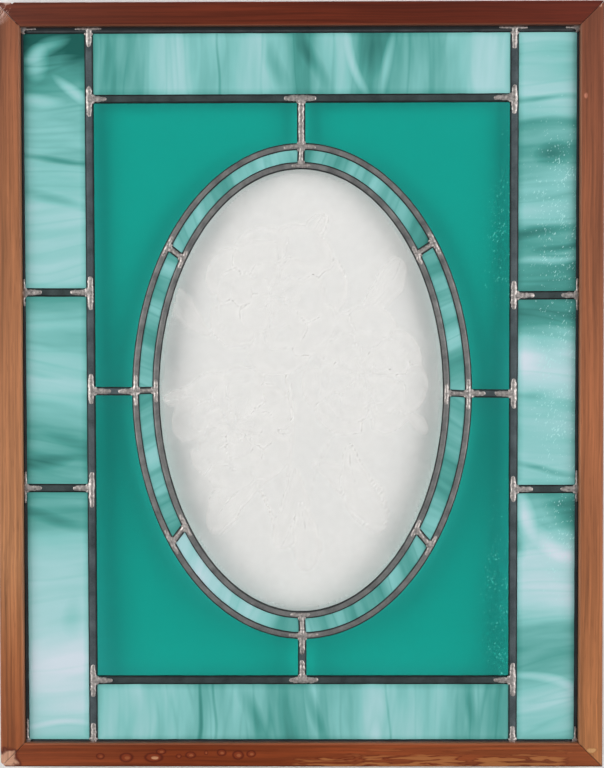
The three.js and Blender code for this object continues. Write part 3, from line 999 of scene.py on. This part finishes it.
LEFT_UPPER = [
    (0.4, 0.07, 36, 28, 7, 0.46), (0.3, 0.13, 75, 18, 10, 0.36), (0.75, 0.23, -48, 22, 6, 0.45),
    (0.25, 0.28, 6, 24, 7, 0.35), (0.85, 0.1, 0, 14, 12, -0.15), (0.5, 0.49, 0, 60, 4, -0.24),
    (0.6, 0.66, -12, 50, 6, -0.22),
]
LEFT_MIDDLE = [(0.25, 0.43, 0, 26, 4, -0.24), (0.3, 0.88, 3, 30, 8, -0.22), (0.6, 0.75, -18, 30, 6, -0.1)]
LEFT_LOWER = [(0.5, 0.12, -12, 50, 7, -0.16), (0.75, 0.5, 70, 18, 11, -0.16), (0.5, 0.92, 0, 60, 3.4, 0.24)]
RIGHT_UPPER = [
    (0.5, 0.265, 0, 60, 4, -0.36), (0.5, 0.36, 2, 60, 5, -0.2), (0.62, 0.47, 20, 20, 10, -0.26),
    (0.35, 0.77, 14, 40, 6, -0.26), (0.75, 0.82, 12, 26, 4, -0.24), (0.6, 0.87, 6, 40, 4, 0.3),
]
RIGHT_MIDDLE = [(0.1, 0.3, 0, 24, 18, 0.3), (0.5, 0.9, -14, 44, 4.4, -0.32), (0.25, 0.52, 0, 20, 7, -0.18)]
RIGHT_LOWER = [
    (0.8, 0.08, -25, 30, 15, -0.3), (0.12, 0.1, -65, 28, 9, 0.5), (0.55, 0.2, -35, 32, 9, 0.3),
    (0.06, 0.24, 0, 10, 11, -0.35), (0.5, 0.75, -14, 50, 4.6, 0.34),
]
STRIP_TOP = [
    (0.3, 0.5, 90, 90, 1.8, -0.2), (0.44, 0.45, -74, 34, 8, -0.26), (0.53, 0.45, -68, 34, 8, -0.2),
    (0.67, 0.25, 90, 28, 14, -0.16), (0.63, 0.5, -72, 36, 4.6, 0.36), (0.705, 0.5, 72, 36, 4.6, 0.36),
]
STRIP_BOTTOM = [
    (0.25, 0.5, 90, 90, 2.2, -0.26), (0.285, 0.5, 90, 90, 2, -0.2), (0.38, 0.4, -68, 36, 9, -0.2),
    (0.52, 0.5, -76, 34, 5, -0.24), (0.71, 0.5, 90, 90, 1.6, -0.18), (0.9, 0.5, -80, 36, 6, -0.22),
]
opal("glass_left_upper", 4, [(0, 0.0), (0.1, 0.06), (0.2, 0.26), (0.36, 0.52), (0.52, 0.46), (0.66, 0.64),
     (1, 0.64)], 3.1, 45 * MM, wisps=LEFT_UPPER)
opal("glass_left_middle", -3, [(0, 0.44), (0.25, 0.52), (0.5, 0.58), (0.68, 0.46), (0.84, 0.26), (1, 0.46)],
     5.3, wisps=LEFT_MIDDLE)
opal("glass_left_lower", 3, [(0, 0.36), (0.1, 0.34), (0.24, 0.64), (0.5, 0.66), (0.66, 0.9), (0.86, 0.86),
     (0.93, 0.66), (1, 0.6)], 8.7, contrast=0.3, wisps=LEFT_LOWER)
opal("glass_right_upper", 2, [(0, 0.6), (0.3, 0.6), (0.4, 0.38), (0.52, 0.38), (0.7, 0.52), (0.84, 0.32),
     (1, 0.22)], 11.2, painted_glint=((0.216, -0.011, -0.165), reach(45, 130, 50), 1.12), wisps=RIGHT_UPPER)
opal("glass_right_middle", -4, [(0, 0.2), (0.12, 0.22), (0.3, 0.86), (0.55, 0.56), (0.78, 0.66), (1, 0.56)],
     14.9, painted_glint=((0.218, -0.011, -0.3), reach(42, 140, 50), 1.15), wisps=RIGHT_MIDDLE)
opal("glass_right_lower", 7, [(0, 0.4), (0.14, 0.5), (0.3, 0.84), (0.45, 0.72), (0.56, 0.42), (0.72, 0.38),
     (0.8, 0.6), (1, 0.5)], 17.4, 40 * MM, painted_glint=((0.22, -0.011, -0.44), reach(34, 80, 50), 1.1),
     wisps=RIGHT_LOWER)
opal("glass_strip_top", 90, [(0, 0.42), (0.06, 0.26), (0.16, 0.56), (0.4, 0.56), (0.5, 0.26), (0.6, 0.5),
     (0.7, 0.28), (0.84, 0.42), (0.92, 0.66), (1, 0.66)], 21.6, 20 * MM, 0.42, wisps=STRIP_TOP)
opal("glass_strip_bottom", 90, [(0, 0.54), (0.1, 0.66), (0.2, 0.44), (0.34, 0.5), (0.42, 0.34), (0.54, 0.38),
     (0.66, 0.62), (0.82, 0.56), (0.95, 0.3)], 24.1, 20 * MM, 0.42, wisps=STRIP_BOTTOM)
RING_TONES = [        # at one end, the middle and the other end of each pane, round the ring
    (0.3, 0.42, 0.32), (0.4, 0.36, 0.44), (0.34, 0.3, 0.44), (0.44, 0.34, 0.44), (0.7, 0.62, 0.46),
    (0.4, 0.4, 0.3), (0.3, 0.42, 0.34), (0.44, 0.4, 0.44),
]
for number, tones in enumerate(RING_TONES, 1):
    name = f"glass_ring_{number}"
    low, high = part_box(name)
    middle = (low + high) / 2
    radial = math.degrees(math.atan2(middle.z - centre.z, middle.x))
    opal(name, radial, list(zip((0, 0.5, 1), tones)), 30.0 + 1.7 * number, 12 * MM, 0.5)
print("opal finishes on 16 panes")

# %% [markdown]
# ## Clear and green glass
# Clear glass bends the light that the camera follows, but it would stop the light that falls on the wall
# behind, since a renderer cannot aim at a lamp through glass. So light on its way to a lamp, and light that
# the wall scatters, pass a plain tinted filter, and everything else meets real glass. The pane is then lit
# once from each side, and the tint counts for each of its faces.

# %% See-through glass
def only_lights(tree):
    """Is 1 for light on its way to a lamp or off a matt surface, and 0 where the glass is looked at."""
    path = put(tree, "LightPath").outputs
    return compute(tree, "MAXIMUM", path["Is Shadow Ray"], path["Is Diffuse Ray"])


def clear(name, tint, filter_tint, wave_stretch, relief, glints=()):
    """Smooth glass of one tint, with a slight relief from rolling. It may have patches of green glints,
    painted as a faint glow.
    """
    material, tree = new_material(name)
    place = put(tree, "TexCoord").outputs["Object"]
    normal = bump(tree, stretched(tree, place, wave_stretch, 2.0), relief, 0.2 * MM)
    shader = principled(tree, tint, 0.03, IOR=1.5, Transmission_Weight=1.0, Normal=normal)
    painted_glint_dots = 0.0
    for middle, glint_reach, amount in glints:
        here = around(tree, painted_glints, place, middle, glint_reach, Amount=amount)["Mask"]
        painted_glint_dots = compute(tree, "MAXIMUM", painted_glint_dots, here)
    if glints:
        # Painted glints: a faint glow in the colour where the relief would catch the lamp at the right.
        glow = blend_colours(tree, painted_glint_dots, grey(0), screen(80, 150, 140))
        tree.links.new(glow, shader.inputs["Emission Color"])
        shader.inputs["Emission Strength"].default_value = 1.0
    through = put(tree, "BsdfTransparent", {"Color": filter_tint})
    output(tree, switch(tree, only_lights(tree), shader, through))
    return material


GREEN = (0.088, 0.724, 0.668, 1)
GLOWING_GLINTS = [
    ((0.168, -0.011, -0.19), reach(24, 140, 50), 0.92), ((0.166, -0.011, -0.49), reach(24, 150, 50), 0.92),
]
green_glass = clear("green_glass", GREEN, GREEN, (170.0, 170.0, 22.0), 0.12, GLOWING_GLINTS)
clear_glass = clear("clear_glass", (0.985, 0.99, 0.985, 1), (0.985, 0.985, 0.98, 1), (30.0, 30.0, 30.0), 0.05)
for corner in ("top_left", "top_right", "bottom_left", "bottom_right"):
    finish("glass_corner_" + corner, green_glass)
finish("glass_oval", clear_glass)
print("clear finishes on 5 panes")

# %% [markdown]
# ## Engraving
# The clear oval carries a faint cut of flowers, of the kind that engravers have always put on such panes.
# It is a thin sheet on the glass, cut from a grid to an oval. Each of its points knows two things: how far it
# is from the nearest outline that can be seen, and how deep inside a petal it lies. The material turns these
# into thin bright lines and a soft frosting. The petals are drawn one over the other, as a painter would, so
# a later one hides the outlines below it. Petals modelled one by one would need many sheets on top of each
# other, and light that passes many clear layers comes out too dark.

# %% A petal in plain geometry
class Petal:
    """A petal or a leaf, from a point in millimetres, turned, stretched, and bowed to one side."""

    def __init__(self, x, z, turn, length, wide=1.0, bow=0.0, rib=False):
        self.x, self.z, self.length, self.wide, self.bow, self.rib = x, z, length, wide, bow, rib
        self.cos, self.sin = math.cos(math.radians(turn)), math.sin(math.radians(turn))

    def distance(self, x, z):
        """How far each point is outside of the outline, in millimetres, and from the middle rib."""
        along = ((x - self.x) * self.cos + (z - self.z) * self.sin) / self.length
        side = ((z - self.z) * self.cos - (x - self.x) * self.sin) / self.length
        inside = np.clip(along, 0, 1)
        side = side - self.bow * inside * (1 - inside)
        half = 0.36 * self.wide * np.sqrt(inside * (1 - inside)) * 2 * (0.45 + 0.75 * inside)
        half = half * (1 + 0.05 * np.sin(21 * inside))
        beyond = np.maximum(np.maximum(-along, along - 1), 0)
        outline = (np.abs(side) - half) * 0.8 + beyond
        return outline * self.length, np.abs(side) * self.length


pick_turn = random.Random(11)
petals = []
for x, z, turn, length, bow in (
    (-6, -64, -100, 70, 0.4), (8, -60, -44, 84, 0.5), (-26, -70, -136, 70, -0.5), (40, -44, -68, 74, -0.4),
    (-74, 46, 128, 50, 0.4), (46, 62, 52, 62, -0.4), (-84, 6, 205, 34, 0.3), (80, -14, -40, 34, 0.3),
    (4, 112, 66, 40, 0.3), (-2, -92, -84, 60, 0.2),
):
    petals.append(Petal(x, z, turn, length, 0.62, bow, rib=True))
for x, z, turn, length, bow in (
    (-20, 45, -86, 118, 0.25), (48, -12, -118, 84, -0.35), (-52, -60, -62, 62, 0.3),
):
    petals.append(Petal(x, z, turn, length, 0.05, bow))
for x, z, size, first in ((-58, -30, 50, 75), (52, 14, 56, 40), (-26, 80, 60, 10)):
    for layer, (count, length, wide, away) in enumerate((
        (7, 0.74, 1.7, 0.28), (6, 0.56, 1.7, 0.18), (5, 0.4, 1.7, 0.1), (4, 0.24, 1.6, 0.03),
    )):
        for number in range(count):
            turn = first + 360 * number / count + layer * 37 + pick_turn.uniform(-14, 14)
            start_x = x + size * away * math.cos(math.radians(turn))
            start_z = z + size * away * math.sin(math.radians(turn))
            long = size * length * pick_turn.uniform(0.85, 1.12)
            petals.append(Petal(start_x, start_z, turn, long, wide, pick_turn.uniform(-0.3, 0.3)))
print(len(petals), "petals and leaves")

# %% The sheet
SHEET_STEP = 2.0 * MM
SHEET_THICK = 0.04 * MM
SHEET_CLEAR = 0.03 * MM
SHEET_SHORT = 5 * MM        # how far it stays from the middle of the lead
FAR = 40.0
glass_front = panel_y - GLASS_HALF - SHEET_CLEAR
sheet_x, sheet_z = inner_oval.half_width - SHEET_SHORT, inner_oval.half_height - SHEET_SHORT

bpy.ops.mesh.primitive_grid_add(
    x_subdivisions=round(2 * sheet_x / SHEET_STEP), y_subdivisions=round(2 * sheet_z / SHEET_STEP), size=2,
)
engraving = bpy.context.object
engraving.name = "engraving"
oval_middle = Vector((inner_oval.middle.x, glass_front, inner_oval.middle.y))
stand = Matrix.Translation(oval_middle) @ Matrix.Rotation(math.pi / 2, 4, "X")
engraving.data.transform(stand @ Matrix.Diagonal((sheet_x, sheet_z, 1, 1)))


def off_oval(point):
    return ((point.x - oval_middle.x) / sheet_x) ** 2 + ((point.z - oval_middle.z) / sheet_z) ** 2 > 0.985


pick(engraving, "FACE", lambda c, n: off_oval(c))
bpy.ops.mesh.delete(type="FACE")
to_mode("OBJECT")
spots = np.array([(v.co.x - oval_middle.x, v.co.z - oval_middle.z) for v in engraving.data.vertices]) / MM
to_outline = np.full(len(spots), FAR)
depth = np.zeros(len(spots))
for piece in petals:
    outside, from_rib = piece.distance(spots[:, 0], spots[:, 1])
    within = outside < 0
    to_outline = np.where(within, -outside, np.minimum(to_outline, outside))
    depth = np.where(within, np.minimum(-outside, 20), depth)
    if piece.rib:
        to_outline = np.where(within, np.minimum(to_outline, from_rib), to_outline)
for label, values in (("to_outline", to_outline), ("depth", depth)):
    attribute = engraving.data.attributes.new(label, "FLOAT", "POINT")
    attribute.data.foreach_set("value", values.astype(np.float32))
to_mode("EDIT")
bpy.ops.mesh.select_all(action="SELECT")
bpy.ops.mesh.extrude_region_move(TRANSFORM_OT_translate={"value": (0, -SHEET_THICK, 0)})
bpy.ops.mesh.select_all(action="SELECT")
bpy.ops.mesh.normals_make_consistent(inside=False)
to_mode("OBJECT")
keep(engraving, "clear_glass")
print("engraving of", len(engraving.data.polygons), "faces")

# %% Frosted glass
frosted, tree = new_material("frosted_cut")
cloud = texture(tree, put(tree, "TexCoord").outputs["Object"], 26.0, 4.0)[0]
outline = put(tree, "Attribute", attribute_name="to_outline").outputs["Fac"]
inside = put(tree, "Attribute", attribute_name="depth").outputs["Fac"]
line = product(tree, remap(tree, outline, 0.9, 0.0), remap(tree, cloud, 0.42, 0.66))
haze = product(tree, remap(tree, inside, 0.0, 2.0), remap(tree, inside, 16.0, 1.0, 0.25, 1.0))
soft = compute(tree, "MULTIPLY_ADD", haze, 0.16, product(tree, remap(tree, cloud, 0.35, 0.7), 0.12))
see = compute(tree, "MULTIPLY_ADD", line, 0.35, soft, clamp=True)
see = product(tree, see, compute(tree, "SUBTRACT", 1.0, only_lights(tree)))
output(tree, principled(tree, (0.82, 0.805, 0.79, 1), 0.6, Alpha=see))
engraving.data.materials.append(frosted)
print("frosting done")

# %% [markdown]
# ## Wood
# The frame is a hardwood, mitred at the corners, stained and varnished. Its grain runs along each rail, so
# one group of nodes makes the grain and takes the angle to turn it by. Each rail then gets its own colours
# from one end to the other. They are partly the stain's own uneven tone and partly painted light: the stiles
# are painted paler, with a painted varnish sheen in the middle of the left one, where the side lights catch
# the grain, and the rails deeper red.

# %% Group: grain
grain, given, gives = new_group(
    "wood_grain", ["Vector"], ["Turn", "Seed"], ["Grain", "Pores", "Figure", "Height"])
seed_shift = put(grain, "CombineXYZ", {0: given["Seed"], 1: given["Seed"], 2: 0.0})
start = vector(grain, "ADD", given["Vector"], seed_shift.outputs[0])
wavy = bent_by(grain, start, start, 8.0, 1.0, 0.006)
turned = turned_by(grain, wavy, given["Turn"])
for label, scales, detail, low, high in (
    ("Grain", (9.0, 300.0, 520.0), 3.0, 0.3, 0.7),
    ("Pores", (60.0, 1200.0, 1900.0), 1.0, 0.6, 0.72),
    ("Figure", (6.0, 40.0, 90.0), 2.0, 0.3, 0.7),
):
    lines = stretched(grain, turned, scales, detail)
    grain.links.new(remap(grain, lines, low, high), gives[label])
    if label == "Pores":
        grain.links.new(compute(grain, "SUBTRACT", 1.0, lines), gives["Height"])


# %% Groups: worn spots and scratches
worn, given, gives = new_group("worn_spot", ["Vector", "Middle", "Reach"], ["Rough"], ["Inside", "Rim"])
offset = vector(worn, "SUBTRACT", given["Vector"], given["Middle"])
flat = vector(worn, "MULTIPLY", offset, (1.0, 0.0, 1.0))
ragged = compute(worn, "SUBTRACT", texture(worn, given["Vector"], 150.0, 2.0)[0], 0.5)
wobble = product(worn, ragged, given["Rough"])
ragged_distance = compute(worn, "ADD", share_of_reach(worn, flat, given["Reach"]), wobble)
worn.links.new(remap(worn, ragged_distance, 0.95, 0.75), gives["Inside"])
worn.links.new(remap(worn, apart(worn, ragged_distance, 0.92), 0.3, 0.05), gives["Rim"])

scratched, given, gives = new_group("scratches", ["Vector", "Middle", "Reach"], ["Turn"], ["Mask"])
offset = vector(scratched, "SUBTRACT", given["Vector"], given["Middle"])
distance = share_of_reach(scratched, offset, given["Reach"])
turned = turned_by(scratched, offset, given["Turn"])
lines = stretched(scratched, turned, (60.0, 1.0, 620.0), 1.0)
line = remap(scratched, apart(scratched, lines, 0.5), 0.03, 0.0)
scratched.links.new(product(scratched, line, remap(scratched, distance, 1.0, 0.6)), gives["Mask"])

# %% The four rails
def at(x, z):
    """A point on the front of the frame, in millimetres from the middle of the window."""
    return (x * MM, front, centre.z + z * MM)


def wood(name, turn, stops, seed, gloss, painted_edge_highlight, marks=(), scuffs=(), peeled=False):
    """Stained wood for a rail or a stile, with colours that change from its left or foot to its far end."""
    material, tree = new_material(name + "_finish")
    low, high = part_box(name)
    place, axes = object_place(tree)
    made = use_group(tree, grain, {"Vector": place, "Turn": math.radians(turn), "Seed": seed})
    upright = high.z - low.z > high.x - low.x
    along = remap(tree, axes[2], low.z, high.z) if upright else remap(tree, axes[0], low.x, high.x)
    colour = colour_ramp(tree, along, stops)
    for label, dark, light in (("Grain", 0.68, 1.24), ("Figure", 0.8, 1.17)):
        lines = blend_colours(tree, made[label], grey(dark), grey(light))
        colour = blend_colours(tree, 1.0, colour, lines, "MULTIPLY")
    colour = paint(tree, colour, made["Pores"], 0.3, 60, 26, 15)
    past_side = compute(tree, "SUBTRACT", compute(tree, "ABSOLUTE", axes[0]), SIGHT_SIDE)
    past_up = compute(tree, "SUBTRACT", apart(tree, axes[2], centre.z), SIGHT_UP)
    inner = past_side if upright else past_up
    # A painted highlight along the eased inner edge, where it would catch the light.
    colour = paint(tree, colour, remap(tree, inner, 1.7 * MM, 0.9 * MM), painted_edge_highlight, 196, 140, 106)
    # Painted shade along the lower arris at the frame's foot.
    foot = remap(tree, axes[2], cad_low.z + 1.4 * MM, cad_low.z + 0.7 * MM)
    colour = paint(tree, colour, foot, 0.7, 48, 22, 14)
    gap = remap(tree, apart(tree, past_side, past_up), 0.55 * MM, 0.2 * MM)
    colour = paint(tree, colour, gap, 0.75, 40, 18, 12)
    height = made["Height"]
    if peeled:
        colour, height = peel(tree, place, axes, colour, height)
    for middle, mark_reach, rough, inside, rim in marks:
        here = around(tree, worn, place, middle, mark_reach, Rough=rough)
        strength = remap(tree, made["Grain"], 0.2, 0.8, 0.55, 0.95)
        colour = paint(tree, colour, here["Inside"], strength, *inside)
        colour = paint(tree, colour, here["Rim"], 0.8, *rim)
        height = compute(tree, "ADD", height, here["Inside"])
    for middle, scuff_reach, angle in scuffs:
        mask = around(tree, scratched, place, middle, scuff_reach, Turn=math.radians(angle))["Mask"]
        colour = paint(tree, colour, mask, 0.8, 206, 170, 158)
    normal = bump(tree, height, 0.2, 0.1 * MM)
    output(tree, principled(tree, colour, gloss, Specular_IOR_Level=0.35, Normal=normal))
    finish(name, material)


def peel(tree, place, axes, colour, height):
    """Varnish that has lifted in flakes along the lower half of the bottom rail."""
    flakes = stretched(tree, place, (34.0, 1.0, 300.0), 3.0, Distortion=0.4)
    down = remap(tree, axes[2], centre.z - 303 * MM, centre.z - 313 * MM)
    begins = remap(tree, axes[0], -34 * MM, 20 * MM)
    ends_at = remap(tree, axes[0], 238 * MM, 215 * MM)
    area = product(tree, product(tree, down, begins), ends_at)
    level = compute(tree, "ADD", flakes, product(tree, area, 0.2))
    bare = product(tree, remap(tree, level, 0.66, 0.74), area)
    lip = product(tree, remap(tree, apart(tree, level, 0.66), 0.03, 0.0), area)
    colour = paint(tree, colour, bare, 0.65, 178, 116, 68)
    colour = paint(tree, colour, lip, 0.8, 92, 30, 12)
    return colour, compute(tree, "ADD", height, product(tree, lip, 2.0))


RIM_RED = (84, 28, 16)
PALE_DOME_HIGHLIGHT = (204, 150, 112)
DULL_DOME_HIGHLIGHT = (160, 92, 58)
BARE = (214, 166, 138)
blisters = []
for x, z, reach_x, reach_z in (
    (-169, -311, 3.4, 2.6), (-147, -312, 5.6, 4), (-124, -312, 7.4, 4), (-118, -307, 4.2, 2.4),
    (-103, -311, 2.4, 1.9), (-93, -310, 4.4, 2.9), (-80, -308, 1.6, 1.8), (-67, -308, 3.8, 2.8),
    (-53, -310, 4.6, 3.6), (-42, -309, 3.9, 2.8),
):
    blisters.append((at(x, z), reach(reach_x, reach_z), 0.35, (132, 56, 28), RIM_RED))
    # The inner spot of each blister is a painted highlight on its dome, set a little off its middle, paler on
    # the big ones.
    dome_highlight = PALE_DOME_HIGHLIGHT if reach_x > 7 else DULL_DOME_HIGHLIGHT
    inner = reach(0.52 * reach_x, 0.46 * reach_z)
    blisters.append((at(x + 0.12 * reach_x, z - 0.3), inner, 0.4, dome_highlight, (128, 54, 28)))
bare_corner = [(at(-248, -314), reach(10.5, 9.0), 1.3, BARE, RIM_RED)]
pale_foot = [(at(243.5, -306), reach(5.0, 2.6), 0.9, (206, 160, 108), (166, 108, 64))]
head_scuffs = [(at(-251, 313), reach(12, 13, 50), turn) for turn in (48, 62, 76)]
nick = [(at(-243, 319.4), reach(3.4, 1.5), 0.5, (214, 190, 180), (150, 96, 80))]
right_nicks = [
    (at(249.5, 316.5), reach(1.5, 2.6), 0.8, (206, 160, 140), (140, 84, 60)),
    (at(237.5, 241), reach(1.6, 2.4), 1.2, (200, 130, 105), (150, 88, 62)),
]
# The stops are partly the stain's own tone and partly painted light: the paler stiles, and the bright middle
# of the left one, are painted sheen where the side lights catch the grain.
wood("stile_left", 90, [
    (0, 150, 80, 44), (0.14, 164, 100, 60), (0.27, 178, 122, 82), (0.5, 172, 114, 76), (0.75, 158, 100, 64),
    (1, 138, 80, 54),
], 1.0, 0.42, 0.15, bare_corner, head_scuffs)
wood("stile_right", 90, [(0, 166, 108, 66), (0.3, 166, 102, 64), (0.6, 150, 90, 58), (1, 122, 66, 44)],
     2.0, 0.42, 0.2, pale_foot + right_nicks)
wood("rail_top", 0, [(0, 108, 50, 33), (0.3, 98, 40, 22), (1, 98, 36, 20)],
     3.0, 0.35, 0.12, nick, head_scuffs[:1])
wood("rail_bottom", 0, [(0, 136, 68, 38), (0.3, 122, 52, 22), (0.6, 134, 64, 32), (1, 142, 74, 40)],
     4.0, 0.35, 0.2, blisters + bare_corner, peeled=True)
print("wood on four rails")
